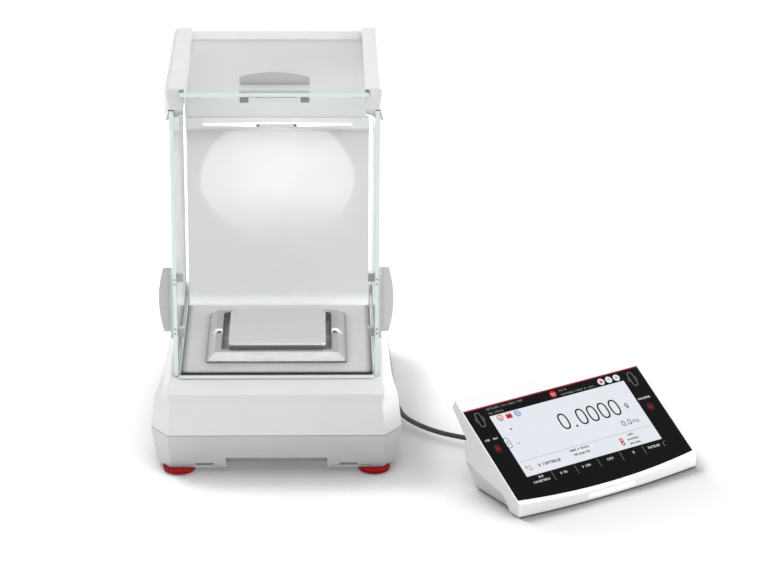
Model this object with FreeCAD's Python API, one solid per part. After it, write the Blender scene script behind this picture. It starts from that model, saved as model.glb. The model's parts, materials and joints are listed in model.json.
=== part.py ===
"""Analytical balance: weighing base, draft shield with three sliding glass doors, touch terminal and cable.

Millimetres, +Z up. The balance is drawn about its own centre plane, X = 0, with Y = 0 at the front
glass and Z = 0 on the bench. The terminal is drawn in its own frame. Both are then moved to the
part's frame, whose origin is on the bench under the middle of the whole object.
"""
import math
import os

import FreeCAD
import Part

V = FreeCAD.Vector

# Places of the two units in the part's frame
BALANCE_AT = V(-135.86, -66.79, 0)
TERMINAL_AT = V(78.84, -201.19, 0)
TERMINAL_TURN = 32.4

# Heights of the base
SHELL_BOTTOM = 4.6
GRIP_TOP = 14.6
SEAM_Z = 38.4
SHOULDER_Z = 67.2
DECK_Z = 79.0
WALL = 3.0

# Plan outlines: front half width, front Y, corner half width, corner Y, half width at the middle,
# half width at the rear, rear Y
BOTTOM_OUTLINE = (97.4, -36.9, 109.9, -21.4, 105.0, 101.0, 268.0)
SEAM_OUTLINE = (99.3, -42.5, 115.0, -20.4, 110.0, 105.0, 268.0)
SHOULDER_OUTLINE = (96.8, -34.5, 111.6, -17.5, 106.4, 102.4, 268.0)
FLARE_OUTLINE = (97.8, -34.0, 105.3, -25.1, 103.4, 101.6, 266.0)
LEDGE_OUTLINE = (98.6, -33.6, 100.2, -31.4, 101.0, 100.8, 263.0)
DECK_OUTLINE = (96.2, -6.4, 97.9, -3.8, 98.4, 99.8, 257.0)
FLARE_Z = 70.1
LEDGE_Z = 75.4
MIDDLE_Y = 40.0
REAR_CHAMFER = 18.0

# Draft shield
GLASS = 3.8
DOOR_INNER = 90.2
DOOR_DEPTH = 184.0
DOOR_BOTTOM = 79.5
DOOR_TOP = 334.0
TOP_GLASS_Z = 347.9
TOP_GLASS_HALF = 84.2
TOP_GLASS_DEPTH = 174.0
FRONT_GLASS_HALF = 89.6
FRONT_GLASS_Y = 0.5
RAIL_TOP = 353.6
RAIL_INNER = 80.2
RAIL_SIDE = 98.4
RAIL_REAR_Y = 207.0
WALL_Y = 187.0
TOWER_HALF = 88.0
TOWER_TOP = 347.6
TOWER_FRONT_Y = 176.0
TOWER_REAR_Y = 236.0
HOOD_Z = 273.8

# Door handles
HANDLE_LENGTH = 62.8
HANDLE_DEPTH = 20.0
HANDLE_PLATE = 2.4
HANDLE_RISE_MIDDLE = 13.8
HANDLE_RISE_END = 9.3
HANDLE_Z = 148.0
PIN_RADIUS = 1.2
PIN_Y = 8.0
PIN_PLACES = (-29.0, -25.0, 25.0, 29.0)

# Weighing chamber
FLOOR_HALF = 88.2
FLOOR_TOP = 80.7
FLOOR_FRONT_Y = 4.6
FLOOR_REAR_Y = 177.6
PAN_Y = 92.5
PAN_WIDTH = 91.0
PAN_DEPTH = 88.0
PAN_TOP = 92.0
RING_X = -0.6
RING_OUTER = 130.0
RING_DEPTH = 122.0
RING_HEIGHT = 7.4
RING_FLANK = 7.5
RING_RIM = 6.0

# Feet
FOOT_X = 89.5
FOOT_Y = -31.2
WHEEL_RADIUS = 14.8
WHEEL_BOTTOM = 0.9
WHEEL_TOP = 4.3
STUD_RADIUS = 4.0
STUD_CLEARANCE = 0.05
BUSH_RADIUS = 5.3
BUSH_LENGTH = 15.5

# Rear panel: each port's X and Z limits
PANEL_FACE_Y = 267.0
PORT_BACK_Y = 247.0
PORTS = {
    "power_jack": (-54.0, -44.0, 17.0, 28.0),
    "serial_port": (-32.0, -4.0, 17.0, 29.0),
    "usb_port": (10.0, 22.0, 17.0, 28.0),
    "network_port": (34.0, 50.0, 17.0, 30.5),
}

# Terminal
SLOPE = math.radians(32.1)
FACE_START_Z = 15.2
SCREEN_WIDTH = 200.0
SCREEN_LENGTH = 102.0
FACE_LENGTH = 117.0
SIDE_MARGIN = 1.2
FRONT_BOW = 6.0
TERMINAL_FLOOR = 1.2
SEAM_FRONT = (20.0, 13.4)
SEAM_REAR = (77.0, 24.2)
PLUG_X = 60.0
PLUG_Z = 14.0
PLUG_LENGTH = 20.6

# Terminal cable, in the part's frame
CABLE_DIAMETER = 4.6
CABLE_ROUTE = (
    (-24.86, 31.21, 12.0),
    (-20.26, 16.21, 11.0),
    (-16.46, 0.21, 9.4),
    (-3.86, -16.29, 8.2),
    (13.14, -32.29, 7.8),
    (32.14, -43.79, 7.8),
    (50.14, -51.99, 8.4),
    (63.64, -64.29, 10.8),
    (73.54, -80.69, 14.0),
    (83.14, -95.89, 14.0),
)
GLAND_LENGTH = 22.0


def box(x0, x1, y0, y1, z0, z1):
    return Part.makeBox(x1 - x0, y1 - y0, z1 - z0, V(x0, y0, z0))


def cylinder(radius, height, x, y, z, direction=V(0, 0, 1)):
    return Part.makeCylinder(radius, height, V(x, y, z), direction)


def face(points):
    return Part.Face(Part.makePolygon(points + [points[0]]))


def prism_x(outline, x0, x1):
    """A (y, z) outline extruded from x0 to x1."""
    return face([V(x0, y, z) for y, z in outline]).extrude(V(x1 - x0, 0, 0))


def prism_y(outline, y0, y1):
    """An (x, z) outline extruded from y0 to y1."""
    return face([V(x, y0, z) for x, z in outline]).extrude(V(0, y1 - y0, 0))


def prism_z(outline, z0, z1):
    """An (x, y) outline extruded from z0 to z1."""
    return face([V(x, y, z0) for x, y in outline]).extrude(V(0, 0, z1 - z0))


def mirrored(shape):
    """The same piece on the other side of the centre plane."""
    return shape.mirror(V(0, 0, 0), V(1, 0, 0))


def rounded_plate(x0, x1, y0, y1, z0, z1, radius):
    """A flat plate with its four upright corners rounded."""
    plate = box(x0, x1, y0, y1, z0, z1)
    upright = [e for e in plate.Edges if abs(e.BoundBox.ZLength - (z1 - z0)) < 1e-6]
    return plate.makeFillet(radius, upright)


def inset(outline, distance):
    """A counter-clockwise outline with every side moved inwards."""
    moved = []
    count = len(outline)
    for i in range(count):
        before, here, after = (V(*outline[(i + k) % count], 0) for k in (-1, 0, 1))
        first = (here - before).normalize()
        second = (after - here).normalize()
        normal = V(-first.y - second.y, first.x + second.x, 0).normalize()
        reach = distance / normal.dot(V(-first.y, first.x, 0))
        corner = here + normal * reach
        moved.append((corner.x, corner.y))
    return moved


def plan(front_half, front_y, corner_half, corner_y, middle_half, rear_half, rear_y):
    """Ten corners of the base's outline at one height, counter-clockwise."""
    right = [
        (front_half, front_y),
        (corner_half, corner_y),
        (middle_half, MIDDLE_Y),
        (rear_half, rear_y - REAR_CHAMFER),
        (rear_half - REAR_CHAMFER, rear_y),
    ]
    return right + [(-x, y) for x, y in reversed(right)]


def loft(levels):
    """A solid through outlines given as (height, outline) pairs."""
    wires = []
    for z, outline in levels:
        points = [V(x, y, z) for x, y in outline]
        wires.append(Part.makePolygon(points + [points[0]]))
    return Part.makeLoft(wires, True, True)


# Base


def lower_outer():
    return loft([(SHELL_BOTTOM, plan(*BOTTOM_OUTLINE)), (SEAM_Z, plan(*SEAM_OUTLINE))])


def gland_axis():
    """Where the cable gland starts inside the wall, and its direction, in the balance's frame."""
    tip = V(*CABLE_ROUTE[0]) - BALANCE_AT
    along = (V(*CABLE_ROUTE[1]) - V(*CABLE_ROUTE[0])).normalize()
    return tip - along * GLAND_LENGTH, along


def cable_gland():
    start, along = gland_axis()
    collar = Part.makeCylinder(6.0, 8.0, start, along)
    sleeve = Part.makeCone(5.0, CABLE_DIAMETER / 2 + 0.7, GLAND_LENGTH - 8.0, start + along * 8.0, along)
    return collar.fuse(sleeve).removeSplitter()


def lower_housing():
    """The tray under the seam, with a finger grip in front and holes for feet, ports and weighing hook."""
    inner = loft(
        [
            (SHELL_BOTTOM + WALL, inset(plan(*BOTTOM_OUTLINE), WALL)),
            (SEAM_Z + 0.01, inset(plan(*SEAM_OUTLINE), WALL)),
        ]
    )
    grip, lining = (box(-46.4 - t, 46.4 + t, -60.0, -24.0 + t, -1.0, GRIP_TOP + t) for t in (0.0, 2.0))
    shell = lower_outer().cut(inner.cut(lining))
    holes = [grip, cylinder(12.0, 10.0, 0, PAN_Y, 1.0), cylinder(2.0, 10.0, 22.0, PAN_Y, 1.0)]
    for side in (-1, 1):
        holes.append(cylinder(STUD_RADIUS + 1.0, 10.0, side * FOOT_X, FOOT_Y, 1.0))
        holes.append(cylinder(BUSH_RADIUS, BUSH_LENGTH, side * FOOT_X, FOOT_Y, SHELL_BOTTOM + WALL))
        slot = rounded_plate(-8.2, 8.2, -1.1, 1.1, 0.0, 30.0, 1.05)
        slot.rotate(V(0, 0, 0), V(1, 0, 0), 90)
        slot.translate(V(side * 66.0, -35.8, SHELL_BOTTOM + 3.7))
        x = side * 68.4
        groove = box(x - 18.3, x + 18.3, -60.0, -36.5, -1.0, SHELL_BOTTOM + 2.4)
        groove = groove.cut(box(x - 17.9, x + 17.9, -60.0, -30.0, -1.0, SHELL_BOTTOM + 2.0))
        holes += [slot, groove]
    holes.append(box(-62.0, 62.0, 260.0, 270.0, 13.0, 34.0))
    holes.append(cable_gland())
    return shell.cut(holes)


def upper_housing():
    """The shell above the seam: upright walls, a hollow flare up to the ledge, and the deck."""
    outer = loft(
        [
            (SEAM_Z, plan(*SEAM_OUTLINE)),
            (SHOULDER_Z, plan(*SHOULDER_OUTLINE)),
            (FLARE_Z, plan(*FLARE_OUTLINE)),
            (LEDGE_Z, plan(*LEDGE_OUTLINE)),
            (DECK_Z, plan(*DECK_OUTLINE)),
        ]
    )
    inner = loft(
        [
            (SEAM_Z - 0.01, inset(plan(*SEAM_OUTLINE), WALL)),
            (SHOULDER_Z - WALL, inset(plan(*SHOULDER_OUTLINE), WALL)),
            (LEDGE_Z - WALL - 0.5, inset(plan(*LEDGE_OUTLINE), WALL)),
            (DECK_Z - WALL, inset(plan(*DECK_OUTLINE), WALL)),
        ]
    )
    return outer.cut(inner).cut([cylinder(15.0, 12.0, 0, PAN_Y, DECK_Z - 8.0)])


def chassis():
    """Cast plate on the floor of the tray that carries the weighing cell."""
    bottom = SHELL_BOTTOM + WALL
    plate = rounded_plate(-82.0, 82.0, -16.0, 236.0, bottom, bottom + 5.8, 10.0)
    ribs = [box(x - 2.0, x + 2.0, 4.0, 226.0, bottom + 5.8, bottom + 9.8) for x in (-48.0, 48.0)]
    return plate.fuse(ribs).cut(cylinder(12.0, 20.0, 0, PAN_Y, bottom - 2.0)).removeSplitter()


def load_cell():
    """Monolithic force-restoration block behind the hook hole, with an arm forward to the pan's stem."""
    floor = SHELL_BOTTOM + WALL + 5.8
    block = box(-28.0, 28.0, 112.0, 212.0, floor, 62.0)
    arm = box(-14.0, 14.0, PAN_Y - 12.0, 112.0, 54.0, 62.0)
    windows = [
        box(-30.0, 30.0, 126.0, 198.0, 55.0, 57.4),
        box(-30.0, 30.0, 126.0, 198.0, 22.0, 24.4),
        box(-30.0, 30.0, 140.0, 143.0, 24.4, 50.0),
        box(-30.0, 30.0, 156.0, 180.0, 32.0, 46.0),
        cylinder(3.0, 60.0, -30.0, 128.0, 56.2, V(1, 0, 0)),
        cylinder(3.0, 60.0, -30.0, 196.0, 56.2, V(1, 0, 0)),
    ]
    return block.cut(windows).fuse(arm).removeSplitter()


def magnet_system():
    floor = SHELL_BOTTOM + WALL + 5.8
    can = cylinder(25.0, 34.0, 0, 46.0, floor)
    cap = cylinder(21.0, 4.0, 0, 46.0, floor + 34.0)
    return can.fuse(cap).removeSplitter()


def calibration_weights():
    """Two stainless discs that hang beside the cell, below its lift arm."""
    discs = [cylinder(10.0, 12.0, x, PAN_Y + 42.0, 42.0, V(1, 0, 0)) for x in (-45.0, 33.0)]
    return Part.makeCompound(discs)


def calibration_motor():
    body = cylinder(11.0, 26.0, 52.0, 160.0, 34.0, V(1, 0, 0))
    foot = box(54.0, 76.0, 150.0, 170.0, SHELL_BOTTOM + WALL + 5.8, 26.0)
    shaft = cylinder(1.5, 8.0, 44.0, 160.0, 34.0, V(1, 0, 0))
    return body.fuse([foot, shaft]).removeSplitter()


def main_board():
    floor = SHELL_BOTTOM + WALL + 5.8
    board = box(-80.0, -54.0, 40.0, 210.0, floor + 8.0, floor + 9.6)
    legs = [cylinder(3.0, 8.0, -67.0, y, floor) for y in (50.0, 200.0)]
    chips = [box(-76.0, -60.0, y, y + 16.0, floor + 9.6, floor + 12.0) for y in (62.0, 100.0, 138.0)]
    return board.fuse(legs + chips).removeSplitter()


def port_block(name):
    x0, x1, z0, z1 = PORTS[name]
    return box(x0, x1, PORT_BACK_Y, PANEL_FACE_Y + 0.6, z0, z1)


def power_jack():
    block = port_block("power_jack")
    bore = cylinder(3.1, 12.0, -49.0, PANEL_FACE_Y - 9.0, 22.5, V(0, 1, 0))
    pin = cylinder(1.0, 8.5, -49.0, PANEL_FACE_Y - 9.2, 22.5, V(0, 1, 0))
    return block.cut(bore).fuse(pin)


def serial_port():
    flange = port_block("serial_port")
    collar = box(-27.0, -9.0, PANEL_FACE_Y + 0.6, PANEL_FACE_Y + 5.0, 18.4, 27.6)
    return flange.fuse(collar).removeSplitter()


def usb_port():
    x0, x1, z0, z1 = PORTS["usb_port"]
    mouth = box(x0 + 1.8, x1 - 1.8, PANEL_FACE_Y - 11.0, PANEL_FACE_Y + 2.0, z0 + 1.8, z1 - 1.8)
    tongue = box(x0 + 3.4, x1 - 3.4, PANEL_FACE_Y - 11.2, PANEL_FACE_Y - 2.0, z0 + 4.0, z1 - 4.0)
    return port_block("usb_port").cut(mouth).fuse(tongue)


def network_port():
    x0, x1, z0, z1 = PORTS["network_port"]
    mouth = box(x0 + 2.1, x1 - 2.1, PANEL_FACE_Y - 12.0, PANEL_FACE_Y + 2.0, z0 + 2.0, z1 - 3.4)
    return port_block("network_port").cut(mouth)


def rear_panel():
    plate = box(-62.0, 62.0, PANEL_FACE_Y - 2.0, PANEL_FACE_Y, 13.0, 34.0)
    return plate.cut([port_block(name) for name in PORTS])


def hook_cover():
    """Swivelling cover of the hole for weighing below the balance."""
    bottom, thick = SHELL_BOTTOM - 1.9, 1.4
    disc = cylinder(14.0, thick, 0, PAN_Y, bottom)
    ear = cylinder(6.0, thick, 22.0, PAN_Y, bottom)
    neck = box(0, 22.0, PAN_Y - 6.0, PAN_Y + 6.0, bottom, bottom + thick)
    return disc.fuse([ear, neck]).removeSplitter().cut(cylinder(2.05, 4.0, 22.0, PAN_Y, bottom - 1.0))


def hook_cover_screw():
    head = cylinder(4.0, 1.0, 22.0, PAN_Y, SHELL_BOTTOM - 3.3)
    return head.fuse(cylinder(2.0, WALL + 2.3, 22.0, PAN_Y, SHELL_BOTTOM - 2.3)).removeSplitter()


def foot_wheel():
    """Knurled thumb wheel with its threaded stud, for the right front foot."""
    rim = cylinder(WHEEL_RADIUS, WHEEL_TOP - WHEEL_BOTTOM, FOOT_X, FOOT_Y, WHEEL_BOTTOM)
    lower = [e for e in rim.Edges if e.BoundBox.ZMax < WHEEL_BOTTOM + 0.01 and e.BoundBox.XLength > 20]
    rim = rim.makeFillet(1.0, lower)
    grips = []
    for i in range(24):
        angle = 2 * math.pi * i / 24
        x = FOOT_X + (WHEEL_RADIUS + 0.5) * math.cos(angle)
        y = FOOT_Y + (WHEEL_RADIUS + 0.5) * math.sin(angle)
        grips.append(cylinder(0.9, 4.0, x, y, WHEEL_BOTTOM + 1.6))
    stud = cylinder(STUD_RADIUS, 24.0 - WHEEL_TOP, FOOT_X, FOOT_Y, WHEEL_TOP)
    return rim.cut(grips).fuse(stud).removeSplitter()


def foot_pad():
    return cylinder(10.5, WHEEL_BOTTOM - 0.3, FOOT_X, FOOT_Y, 0.0)


def foot_bushes():
    """Threaded brass bushes that the studs turn in."""
    bushes = []
    for side in (-1, 1):
        bush = cylinder(BUSH_RADIUS, BUSH_LENGTH, side * FOOT_X, FOOT_Y, SHELL_BOTTOM + WALL)
        bushes.append(bush.cut(cylinder(STUD_RADIUS + STUD_CLEARANCE, 30.0, side * FOOT_X, FOOT_Y, 1.0)))
    return Part.makeCompound(bushes)


def rear_feet():
    feet = []
    for x in (-78.0, 78.0):
        foot = cylinder(11.0, SHELL_BOTTOM, x, 236.0, 0.0)
        feet.append(foot.makeChamfer(1.2, [e for e in foot.Edges if e.BoundBox.ZMax < 0.1]))
    return Part.makeCompound(feet)


def housing_screws():
    """Cross-head screws up through the tray."""
    places = [(x, y) for x in (-94.0, 94.0) for y in (40.0, 200.0)] + [(0.0, -12.0), (0.0, 252.0)]
    return Part.makeCompound([cylinder(3.2, 1.4, x, y, SHELL_BOTTOM - 1.4) for x, y in places])


def level_body():
    """Round bubble level behind the tower."""
    return cylinder(8.0, 5.0, 70.0, 247.0, DECK_Z).cut(cylinder(6.0, 4.0, 70.0, 247.0, DECK_Z + 2.0))


def level_vial():
    vial = cylinder(6.0, 3.2, 70.0, 247.0, DECK_Z + 2.0)
    return vial


# Draft shield


def rail_section():
    """Cross-section of a right-hand rail, (x, z)."""
    return [
        (RAIL_INNER, RAIL_TOP),
        (RAIL_INNER + 1.3, 331.6),
        (RAIL_SIDE - 1.2, 322.4),
        (RAIL_SIDE, 326.0),
        (RAIL_SIDE, RAIL_TOP - 4.6),
        (RAIL_SIDE - 4.6, RAIL_TOP),
    ]


def right_rail():
    """Side rail with the door grooves, and the thin column that carries it at the rear."""
    bar = prism_y(rail_section(), -1.0, 232.0)
    front_lean = prism_x([(-2, 322), (0.2, 331), (6.6, 354), (-2, 354)], 60, 120)
    front_bevel = prism_x([(-2, 338.5), (-0.1, 338.5), (12.0, 318), (-2, 318)], 60, 120)
    corner = prism_z([(91.4, -2), (120, -2), (120, 12), (RAIL_SIDE, 10.5)], 300, 360)
    rear_slope = prism_x([(RAIL_REAR_Y, 354), (260, 354), (260, 300), (236, 326)], 60, 120)
    door_groove = box(DOOR_INNER - 0.5, DOOR_INNER + GLASS + 0.5, -2, 240, 318, DOOR_TOP + 1.2)
    top_groove = box(70, TOP_GLASS_HALF + 0.6, -2, 240, TOP_GLASS_Z - 0.5, TOP_GLASS_Z + GLASS + 0.5)
    tower_seat = box(70, TOWER_HALF + 0.1, TOWER_FRONT_Y - 0.5, 240, 318, TOWER_TOP + 0.1)
    bar = bar.cut([front_lean, front_bevel, corner, rear_slope, door_groove, top_groove, tower_seat])
    column = prism_x([(204, DECK_Z), (204, 330), (224, 338), (236, 326), (236, DECK_Z)], 95.2, RAIL_SIDE)
    return bar.fuse(column).removeSplitter()


def tower_shell():
    """Rear tower: side walls and top, with the overhang above the chamber's light."""
    outer = prism_x(
        [
            (WALL_Y + 3, DECK_Z),
            (WALL_Y + 3, HOOD_Z),
            (TOWER_FRONT_Y, HOOD_Z),
            (TOWER_FRONT_Y, TOWER_TOP),
            (217, TOWER_TOP),
            (TOWER_REAR_Y, 328),
            (TOWER_REAR_Y, DECK_Z),
        ],
        -TOWER_HALF,
        TOWER_HALF,
    )
    inner = prism_x(
        [
            (WALL_Y + 2, DECK_Z - 1),
            (WALL_Y + 2, HOOD_Z + WALL),
            (TOWER_FRONT_Y + WALL, HOOD_Z + WALL),
            (TOWER_FRONT_Y + WALL, TOWER_TOP - WALL),
            (215.8, TOWER_TOP - WALL),
            (TOWER_REAR_Y - WALL, 326),
            (TOWER_REAR_Y + 1, 326),
            (TOWER_REAR_Y + 1, DECK_Z - 1),
        ],
        -TOWER_HALF + WALL,
        TOWER_HALF - WALL,
    )
    return outer.cut(inner)


def tower_rear_cover():
    """Rear cover with a field of cooling slots."""
    half = TOWER_HALF - WALL
    plate = box(-half, half, TOWER_REAR_Y - 2.6, TOWER_REAR_Y, DECK_Z, 326.0)
    slots = [box(-38, 38, TOWER_REAR_Y - 5, TOWER_REAR_Y + 2, z, z + 2.4) for z in range(250, 300, 6)]
    return plate.cut(slots)


def tower_board():
    """Light driver board on the inside of the tower."""
    board = box(-50, 50, 205.0, 206.6, 120.0, 230.0)
    parts = [box(x, x + 18, 206.6, 214.0, 150.0, 180.0) for x in (-40, -8, 22)]
    brackets = [box(x - 4, x + 4, WALL_Y + 3, 205.0, z, z + 6) for x in (-40, 40) for z in (126, 218)]
    return board.fuse(parts + brackets).removeSplitter()


def chamber_back_wall():
    """Back wall of the chamber, with a cove down to the floor plate."""
    radius = 9.2
    foot, top = FLOOR_TOP - 1.5, 258.0
    points = [V(0, WALL_Y, FLOOR_TOP + radius), V(0, WALL_Y, top), V(0, WALL_Y + 3, top)]
    points += [V(0, WALL_Y + 3, foot), V(0, WALL_Y - radius, foot), V(0, WALL_Y - radius, FLOOR_TOP)]
    bend = radius * math.sin(math.pi / 4)
    middle = V(0, WALL_Y - radius + bend, FLOOR_TOP + radius - bend)
    edges = [Part.makeLine(a, b) for a, b in zip(points, points[1:])]
    edges.append(Part.Arc(points[-1], middle, points[0]).toShape())
    wall = Part.Face(Part.Wire(edges)).extrude(V(2 * TOWER_HALF, 0, 0))
    wall.translate(V(-TOWER_HALF, 0, 0))
    return wall


def light_hood():
    """Ridge under the tower's overhang that holds the chamber's light."""
    ridge = [(174.6, HOOD_Z), (174.0, 263.0), (180.0, 259.0), (190.0, 258.0), (190.0, HOOD_Z)]
    return prism_x(ridge, -TOWER_HALF, TOWER_HALF)


def light_guide():
    """Thin light bar that tapers to both ends."""
    outline = [(-70.7, 266.8), (-20.0, 265.6), (20.0, 265.6), (70.7, 266.8), (70.7, 268.2)]
    outline += [(20.0, 269.0), (-20.0, 269.0), (-70.7, 268.2)]
    return prism_y(outline, 172.4, 174.0)


def light_module():
    plate = rounded_plate(-20.0, 20.0, 0, 3.4, 0, 1.4, 1.6)
    plate.rotate(V(0, 0, 0), V(1, 0, 0), 90)
    plate.translate(V(-0.8, 172.4, 265.6))
    return plate


def light_screws():
    return Part.makeCompound([cylinder(1.1, 0.6, x - 0.8, 170.4, 267.3, V(0, 1, 0)) for x in (-17.6, 17.6)])


def front_glass():
    """Front pane, with its upper corners cut away under the rails."""
    half, y = FRONT_GLASS_HALF, FRONT_GLASS_Y
    pane = box(-half, half, y, y + GLASS - 0.2, DECK_Z + 0.2, TOP_GLASS_Z - 0.5)
    clear = RAIL_INNER - 0.3
    corner = prism_y([(clear, 360), (clear, 333), (clear + 1.2, 331.2), (96, 322.3), (96, 360)], -1, 8)
    return pane.cut([corner, mirrored(corner)])


def front_glass_strip():
    return rounded_plate(-FLOOR_HALF - 2, FLOOR_HALF + 2, -6.6, 0.2, DECK_Z, DECK_Z + 1.8, 3.0)


def door_track():
    """Two low guide strips on the deck, one each side of the right-hand door."""
    inner = box(DOOR_INNER - 1.5, DOOR_INNER - 0.4, 6.0, 236.0, DECK_Z, DECK_Z + 2.0)
    outer = box(DOOR_INNER + GLASS + 0.4, DOOR_INNER + GLASS + 1.2, 4.0, 203.0, DECK_Z, DECK_Z + 2.0)
    return Part.makeCompound([inner, outer])


def handle_pins(low, high):
    return [cylinder(PIN_RADIUS, high - low, x, PIN_Y, low) for x in PIN_PLACES]


def door_handle():
    """Handle as on the top door, drawn on the plane of the glass's outer face."""
    half = HANDLE_LENGTH / 2
    plate = rounded_plate(-half, half, 0.6, HANDLE_DEPTH, 0, HANDLE_PLATE, 1.4)
    y0, y1 = HANDLE_DEPTH - 1.8, HANDLE_DEPTH
    ends = [V(-half, y0, HANDLE_RISE_END), V(half, y0, HANDLE_RISE_END)]
    arch = Part.Arc(ends[0], V(0, y0, HANDLE_RISE_MIDDLE), ends[1]).toShape()
    lower = [V(half, y0, 0.5), V(-half, y0, 0.5)]
    lines = [Part.makeLine(ends[1], lower[0]), Part.makeLine(lower[0], lower[1])]
    lines.append(Part.makeLine(lower[1], ends[0]))
    flange = Part.Face(Part.Wire([arch] + lines)).extrude(V(0, y1 - y0, 0))
    lugs = [box(x - 4, x + 4, 4.8, 12.8, -GLASS - 6.4, -GLASS) for x in (-27.0, 27.0)]
    return plate.fuse([flange] + lugs + handle_pins(-GLASS - 1, 1)).removeSplitter()


def on_right_side(shape):
    """Turns a piece drawn for the top door onto the outside of the right-hand door."""
    turned = shape.copy()
    turned.rotate(V(0, 0, 0), V(0, 1, 0), 90)
    turned.translate(V(DOOR_INNER + GLASS, 0, HANDLE_Z))
    return turned


def right_door_glass():
    """Side pane: its handle is nearer the bottom edge than the top one."""
    pane = box(HANDLE_Z - DOOR_TOP, HANDLE_Z - DOOR_BOTTOM, 0, DOOR_DEPTH, -GLASS, 0)
    return on_right_side(pane.cut(handle_pins(-GLASS - 1, 1)))


def top_door_glass():
    pane = box(-TOP_GLASS_HALF, TOP_GLASS_HALF, 0, TOP_GLASS_DEPTH, -GLASS, 0)
    pane = pane.cut(handle_pins(-GLASS - 1, 1))
    pane.translate(V(0, 0, TOP_GLASS_Z + GLASS))
    return pane


def top_door_handle():
    handle = door_handle()
    handle.translate(V(0, 0, TOP_GLASS_Z + GLASS))
    return handle


# Weighing chamber


def floor_plate():
    plate = rounded_plate(-FLOOR_HALF, FLOOR_HALF, FLOOR_FRONT_Y, FLOOR_REAR_Y, DECK_Z, FLOOR_TOP, 2.0)
    return plate.cut(cylinder(13.0, 6.0, 0, PAN_Y, DECK_Z - 2))


def pan_support():
    """Stem on the cell's receiver, with the cross that the pan sits on."""
    stem = cylinder(5.0, 24.0, 0, PAN_Y, 62.0)
    arms = [box(-24, 24, PAN_Y - 4, PAN_Y + 4, 86.0, 89.4), box(-4, 4, PAN_Y - 24, PAN_Y + 24, 86.0, 89.4)]
    cone = Part.makeCone(5.0, 11.0, 4.0, V(0, PAN_Y, 82.0))
    return stem.fuse(arms + [cone]).removeSplitter()


def weighing_pan():
    """Square stainless pan with a turned-down edge."""
    half_x, half_y = PAN_WIDTH / 2, PAN_DEPTH / 2

    def plate(step, z0, z1, radius):
        x, y = half_x - step, half_y - step
        return rounded_plate(-x, x, PAN_Y - y, PAN_Y + y, z0, z1, radius)

    outer = plate(0.0, PAN_TOP - 7.4, PAN_TOP, 5.0)
    outer = outer.makeFillet(1.2, [e for e in outer.Edges if e.BoundBox.ZMin > PAN_TOP - 0.1])
    return outer.cut(plate(1.2, PAN_TOP - 9.0, PAN_TOP - 2.4, 3.8))


def draft_ring():
    """Square stainless ring round the pan: sloped flanks, a flat rim and a notch in each side."""
    half_x, half_y = RING_OUTER / 2, RING_DEPTH / 2
    top = FLOOR_TOP + RING_HEIGHT

    def square(z, step):
        x, y = half_x - step, half_y - step
        return z, [(-x, PAN_Y - y), (x, PAN_Y - y), (x, PAN_Y + y), (-x, PAN_Y + y)]

    def opening(grow):
        x, y = (half - RING_FLANK - RING_RIM + grow for half in (half_x, half_y))
        return rounded_plate(-x, x, PAN_Y - y, PAN_Y + y, FLOOR_TOP - 1, top + 1, 4.0 + grow)

    outer = loft([square(FLOOR_TOP, 0), square(FLOOR_TOP + 1.0, 0), square(top, RING_FLANK)])
    levels = [square(FLOOR_TOP - 0.01, 2.6), square(FLOOR_TOP + 1.0, 2.6)]
    hollow = loft(levels + [square(top - 2.0, RING_FLANK + 1.6)])
    notch = prism_y([(-7.0, top + 1), (7.0, top + 1), (0.0, top - 5.4)], -200, 200)
    notch.rotate(V(0, 0, 0), V(0, 0, 1), 90)
    notch.translate(V(0, PAN_Y, 0))
    ring = outer.cut(opening(0.0)).cut(hollow.cut(opening(1.6))).cut(notch)
    ring.translate(V(RING_X, 0, 0))
    return ring


# Terminal, in its own frame: X along the screen's lower edge from its left end, Y to the rear


def on_face(along, normal=0.0):
    """(y, z) of a point this far up the sloping face, and this far above it."""
    y = along * math.cos(SLOPE) - normal * math.sin(SLOPE)
    z = FACE_START_Z + along * math.sin(SLOPE) + normal * math.cos(SLOPE)
    return y, z


def front_plan(margin, bow, rear):
    """Upright prism whose front side bows out in an arc."""
    x0, x1 = margin, SCREEN_WIDTH - margin
    y = -4.0 + margin + SIDE_MARGIN
    left, right = V(x0, y, 0), V(x1, y, 0)
    arc = Part.Arc(left, V(SCREEN_WIDTH / 2, y - bow, 0), right).toShape()
    corners = [right, V(x1, rear, 0), V(x0, rear, 0), left]
    sides = [Part.makeLine(a, b) for a, b in zip(corners, corners[1:])]
    return Part.Face(Part.Wire([arc] + sides)).extrude(V(0, 0, 120))


def slab(along0, along1, x0, x1, low, high):
    """A block on the sloping face, between two heights measured from it."""
    corners = [on_face(along0, low), on_face(along1, low), on_face(along1, high), on_face(along0, high)]
    return prism_x(corners, x0, x1)


def screen_outline(shrink, low, high):
    """The glass's outline, with its bowed lower edge, as a block on the sloping face."""
    width, bow = SCREEN_WIDTH - 2 * shrink, FRONT_BOW + 1.0
    start = V(shrink, *on_face(shrink, low))
    middle = V(SCREEN_WIDTH / 2, *on_face(shrink - bow, low))
    end = V(shrink + width, *on_face(shrink, low))
    top_right = V(shrink + width, *on_face(SCREEN_LENGTH - shrink, low))
    top_left = V(shrink, *on_face(SCREEN_LENGTH - shrink, low))
    corners = [end, top_right, top_left, start]
    edges = [Part.Arc(start, middle, end).toShape()]
    edges += [Part.makeLine(a, b) for a, b in zip(corners, corners[1:])]
    up = V(0, *on_face(0, high)) - V(0, *on_face(0, low))
    return Part.Face(Part.Wire(edges)).extrude(up)


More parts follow.
